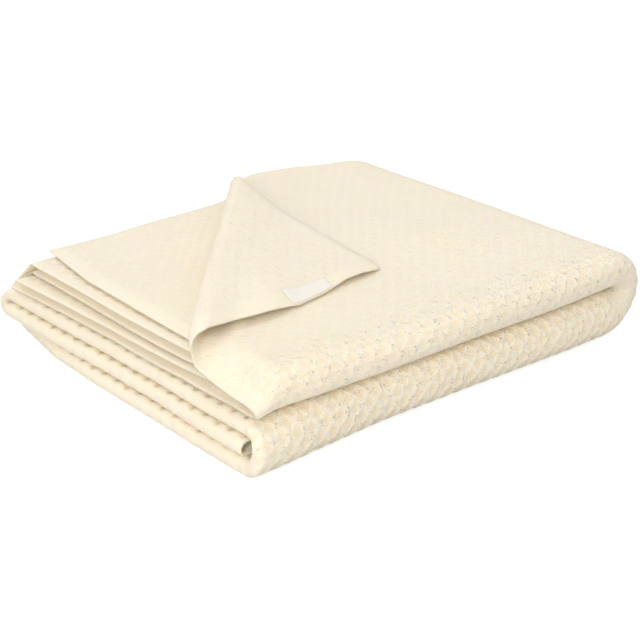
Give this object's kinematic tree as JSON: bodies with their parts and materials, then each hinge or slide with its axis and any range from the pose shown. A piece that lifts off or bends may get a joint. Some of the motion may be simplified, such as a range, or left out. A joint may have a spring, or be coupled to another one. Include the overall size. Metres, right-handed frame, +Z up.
{
  "type": "knitted crib blanket",
  "caption": "Thick cream knitted crib blanket folded into a low rectangular stack, with one corner of its top layer turned back and a small blank label sewn to that corner.",
  "frame": {"origin": "on the surface the blanket lies on, below the middle of the folded stack's box", "axes": "+X along the front towards the big bend at the right end, +Y to the back, +Z up"},
  "size_m": [0.3926, 0.3341, 0.0945],
  "materials": {
    "knit": "soft matt chunky cotton knit in cream",
    "label_tape": "smooth woven white tape"
  },
  "bodies": {
    "root": {"blanket": "knit", "label": "label_tape"}
  },
  "joints": []
}
